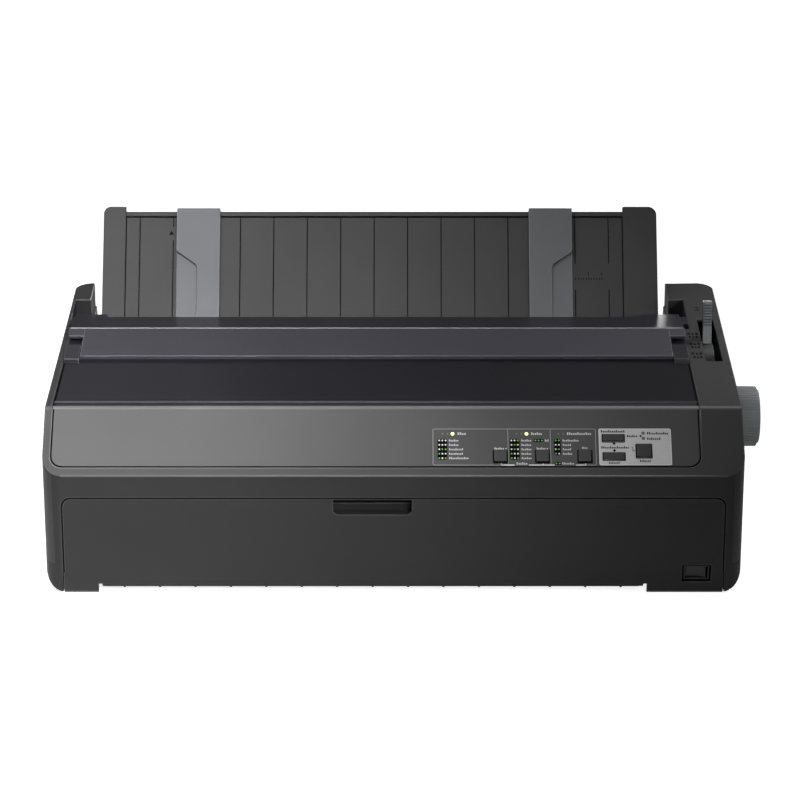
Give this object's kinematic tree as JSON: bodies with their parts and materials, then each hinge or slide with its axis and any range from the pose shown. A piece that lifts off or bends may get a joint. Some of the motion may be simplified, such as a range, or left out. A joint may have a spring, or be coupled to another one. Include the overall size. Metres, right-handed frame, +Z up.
{
  "type": "dot matrix printer",
  "caption": "Wide-carriage impact printer with hinged covers, a sloping key panel, a tilting rear paper guide with sliding edge guides, and a full platen, carriage and tractor feed inside.",
  "frame": {"origin": "middle of the footprint, on the surface that the printer stands on; the knob counts in the width", "axes": "+X to the printer's right as seen from the front, +Y from the front to the rear, +Z up"},
  "size_m": [0.639, 0.402, 0.256],
  "materials": {
    "case": "fine spark-eroded texture, charcoal",
    "case_dark": "fine spark-eroded texture, near black",
    "fascia": "fine texture, dark grey",
    "silver_plate": "satin silver grey foil",
    "key": "semi-gloss moulded",
    "circuit_board": "green solder mask",
    "lamp": "clear light pipe",
    "smoked": "smoked, glossy",
    "smoked_flap": "smoked, satin",
    "lever_grey": "mid grey moulded",
    "platen_rubber": "ground rubber",
    "steel": "ground bright steel",
    "bearing_plastic": "natural acetal",
    "gear_plastic": "natural acetal",
    "zinc_steel": "zinc-plated sheet",
    "mech_black": "glass-filled black",
    "head_metal": "black anodised die casting",
    "cartridge": "black moulded",
    "ribbon_cloth": "inked woven nylon",
    "motor_black": "black enamel",
    "belt_rubber": "toothed rubber",
    "brass_gear": "machined brass",
    "tractor_grey": "dark grey moulded",
    "guide_grey": "fine texture, dark grey",
    "edge_grey": "mid grey moulded",
    "supply_board": "paper-phenolic board and parts",
    "socket_metal": "tinned shell",
    "foot_rubber": "moulded rubber"
  },
  "bodies": {
    "casing": {"lower_case": "case_dark", "upper_case": "case", "control_fascia": "fascia", "key_plate": "silver_plate", "panel_board": "circuit_board", "panel_lamps": "lamp", "platen_bushes": "bearing_plastic", "frame_plate_left": "zinc_steel", "frame_plate_right": "zinc_steel", "chassis_pan": "zinc_steel", "carriage_rod": "steel", "carriage_rail": "zinc_steel", "ribbon_cartridge": "cartridge", "ribbon": "ribbon_cloth", "carriage_motor": "motor_black", "carriage_belt": "belt_rubber", "feed_motor": "motor_black", "tractor_support_shaft": "steel", "main_board": "circuit_board", "power_supply": "supply_board", "rear_sockets": "socket_metal", "slot_cover": "zinc_steel", "power_switch": "mech_black", "feet": "foot_rubber", "screws": "zinc_steel"},
    "front_cover": {"front_cover": "case_dark"},
    "top_cover": {"printer_cover": "smoked"},
    "exit_flap": {"exit_flap": "smoked_flap"},
    "release_lever": {"release_lever": "lever_grey"},
    "platen": {"platen_roller": "platen_rubber", "platen_shaft": "steel", "platen_gear": "gear_plastic", "platen_knob": "lever_grey"},
    "feed_pinion": {"feed_pinion": "brass_gear"},
    "feed_idler": {"feed_idler_gear": "gear_plastic"},
    "tractor_idler": {"tractor_idler_gear": "gear_plastic"},
    "tractor_drive": {"tractor_gear": "gear_plastic", "tractor_drive_shaft": "steel"},
    "tractor_left": {"tractor_left": "tractor_grey"},
    "tractor_left_cover": {"tractor_left_cover": "tractor_grey"},
    "tractor_left_sprocket": {"tractor_left_sprocket": "gear_plastic"},
    "tractor_right": {"tractor_right": "tractor_grey"},
    "tractor_right_cover": {"tractor_right_cover": "tractor_grey"},
    "tractor_right_sprocket": {"tractor_right_sprocket": "gear_plastic"},
    "pressure_rollers": {"pressure_rollers": "platen_rubber"},
    "carriage": {"carriage": "mech_black", "print_head": "head_metal"},
    "motor_pulley": {"motor_pulley": "steel"},
    "idler_pulley": {"idler_pulley": "steel"},
    "ribbon_winder": {"ribbon_winder": "gear_plastic"},
    "paper_guide": {"paper_guide": "guide_grey"},
    "edge_guide_left": {"edge_guide_left": "edge_grey"},
    "edge_guide_right": {"edge_guide_right": "edge_grey"},
    "power_rocker": {"power_rocker": "key"},
    "key_font": {"key_font": "key"},
    "key_pitch": {"key_pitch": "key"},
    "key_bin": {"key_bin": "key"},
    "key_load": {"key_load": "key"},
    "key_feed": {"key_feed": "key"},
    "key_pause": {"key_pause": "key"}
  },
  "joints": [
    {"name": "front_cover_hinge", "type": "hinge", "parent": "casing", "child": "front_cover", "pos_m": [-0.0145, -0.1965, 0.0125], "axis": [1, 0, 0], "range_deg": [0, 85]},
    {"name": "top_cover_hinge", "type": "hinge", "parent": "casing", "child": "top_cover", "pos_m": [-0.0145, 0.047, 0.15969], "axis": [-1, 0, 0], "range_deg": [0, 60]},
    {"name": "exit_flap_hinge", "type": "hinge", "parent": "top_cover", "child": "exit_flap", "pos_m": [-0.0145, -0.0385, 0.16561], "axis": [1, 0, 0], "range_deg": [0, 80]},
    {"name": "paper_guide_hinge", "type": "hinge", "parent": "casing", "child": "paper_guide", "pos_m": [-0.0145, 0.06821, 0.14616], "axis": [1, 0, 0], "range_deg": [-60, 0]},
    {"name": "edge_guide_left_slide", "type": "slide", "parent": "paper_guide", "child": "edge_guide_left", "axis": [1, 0, 0], "range_m": [-0.045, 0.13]},
    {"name": "edge_guide_right_slide", "type": "slide", "parent": "paper_guide", "child": "edge_guide_right", "axis": [1, 0, 0], "range_m": [-0.13, 0.045]},
    {"name": "release_lever_hinge", "type": "hinge", "parent": "casing", "child": "release_lever", "pos_m": [0.2755, 0.002, 0.128], "axis": [1, 0, 0], "range_deg": [0, 38]},
    {"name": "platen_spin", "type": "hinge", "parent": "casing", "child": "platen", "pos_m": [-0.0145, -0.029, 0.102], "axis": [1, 0, 0], "continuous": true},
    {"name": "feed_idler_spin", "type": "hinge", "parent": "casing", "child": "feed_idler", "pos_m": [-0.2685, -0.00575, 0.06173], "axis": [1, 0, 0], "continuous": true},
    {"name": "feed_pinion_spin", "type": "hinge", "parent": "casing", "child": "feed_pinion", "pos_m": [-0.2685, 0.02275, 0.06173], "axis": [1, 0, 0], "continuous": true},
    {"name": "tractor_idler_spin", "type": "hinge", "parent": "casing", "child": "tractor_idler", "pos_m": [-0.2685, 0.02713, 0.1119], "axis": [1, 0, 0], "continuous": true},
    {"name": "tractor_drive_spin", "type": "hinge", "parent": "casing", "child": "tractor_drive", "pos_m": [-0.2685, 0.07626, 0.11793], "axis": [1, 0, 0], "continuous": true},
    {"name": "pressure_rollers_spin", "type": "hinge", "parent": "casing", "child": "pressure_rollers", "pos_m": [-0.0145, -0.01153, 0.11947], "axis": [1, 0, 0], "continuous": true},
    {"name": "tractor_left_slide", "type": "slide", "parent": "casing", "child": "tractor_left", "axis": [1, 0, 0], "range_m": [-0.015, 0.12]},
    {"name": "tractor_right_slide", "type": "slide", "parent": "casing", "child": "tractor_right", "axis": [1, 0, 0], "range_m": [-0.12, 0.03]},
    {"name": "tractor_left_sprocket_spin", "type": "hinge", "parent": "tractor_left", "child": "tractor_left_sprocket", "pos_m": [-0.2085, 0.07626, 0.11793], "axis": [1, 0, 0], "continuous": true},
    {"name": "tractor_right_sprocket_spin", "type": "hinge", "parent": "tractor_right", "child": "tractor_right_sprocket", "pos_m": [0.1465, 0.07626, 0.11793], "axis": [1, 0, 0], "continuous": true},
    {"name": "tractor_left_cover_hinge", "type": "hinge", "parent": "tractor_left", "child": "tractor_left_cover", "pos_m": [-0.2085, 0.11127, 0.12893], "axis": [-1, 0, 0], "range_deg": [0, 80]},
    {"name": "tractor_right_cover_hinge", "type": "hinge", "parent": "tractor_right", "child": "tractor_right_cover", "pos_m": [0.1465, 0.11127, 0.12893], "axis": [-1, 0, 0], "range_deg": [0, 80]},
    {"name": "carriage_slide", "type": "slide", "parent": "casing", "child": "carriage", "axis": [1, 0, 0], "range_m": [0, 0.345]},
    {"name": "motor_pulley_spin", "type": "hinge", "parent": "casing", "child": "motor_pulley", "pos_m": [-0.2365, -0.109, 0.063], "axis": [0, 0, 1], "continuous": true},
    {"name": "idler_pulley_spin", "type": "hinge", "parent": "casing", "child": "idler_pulley", "pos_m": [0.1755, -0.109, 0.063], "axis": [0, 0, 1], "continuous": true},
    {"name": "ribbon_winder_spin", "type": "hinge", "parent": "casing", "child": "ribbon_winder", "pos_m": [-0.1945, -0.142, 0.126], "axis": [0, 0, 1], "continuous": true},
    {"name": "key_font_press", "type": "slide", "parent": "casing", "child": "key_font", "axis": [0, 0.6691, -0.7431], "range_m": [0, 0.001], "stiffness_N_per_m": 800, "springref_m": -0.0006},
    {"name": "key_pitch_press", "type": "slide", "parent": "casing", "child": "key_pitch", "axis": [0, 0.6691, -0.7431], "range_m": [0, 0.001], "stiffness_N_per_m": 800, "springref_m": -0.0006},
    {"name": "key_bin_press", "type": "slide", "parent": "casing", "child": "key_bin", "axis": [0, 0.6691, -0.7431], "range_m": [0, 0.001], "stiffness_N_per_m": 800, "springref_m": -0.0006},
    {"name": "key_load_press", "type": "slide", "parent": "casing", "child": "key_load", "axis": [0, 0.6691, -0.7431], "range_m": [0, 0.001], "stiffness_N_per_m": 800, "springref_m": -0.0006},
    {"name": "key_feed_press", "type": "slide", "parent": "casing", "child": "key_feed", "axis": [0, 0.6691, -0.7431], "range_m": [0, 0.001], "stiffness_N_per_m": 800, "springref_m": -0.0006},
    {"name": "key_pause_press", "type": "slide", "parent": "casing", "child": "key_pause", "axis": [0, 0.6691, -0.7431], "range_m": [0, 0.001], "stiffness_N_per_m": 800, "springref_m": -0.0006},
    {"name": "power_rocker_hinge", "type": "hinge", "parent": "casing", "child": "power_rocker", "pos_m": [0.2505, -0.191, 0.019], "axis": [0, 0, 1], "range_deg": [0, 12]}
  ],
  "couplings": [
    {"joint": "feed_idler_spin", "follows": "platen_spin", "ratio": -1.3846},
    {"joint": "feed_pinion_spin", "follows": "platen_spin", "ratio": 3},
    {"joint": "tractor_idler_spin", "follows": "platen_spin", "ratio": -0.9},
    {"joint": "tractor_drive_spin", "follows": "platen_spin", "ratio": 1.3846},
    {"joint": "tractor_left_sprocket_spin", "follows": "platen_spin", "ratio": 1.3846},
    {"joint": "tractor_right_sprocket_spin", "follows": "platen_spin", "ratio": 1.3846},
    {"joint": "pressure_rollers_spin", "follows": "platen_spin", "ratio": -3.5185},
    {"joint": "motor_pulley_spin", "follows": "carriage_slide", "rad_per_m": -114.29},
    {"joint": "idler_pulley_spin", "follows": "carriage_slide", "rad_per_m": -114.29}
  ]
}
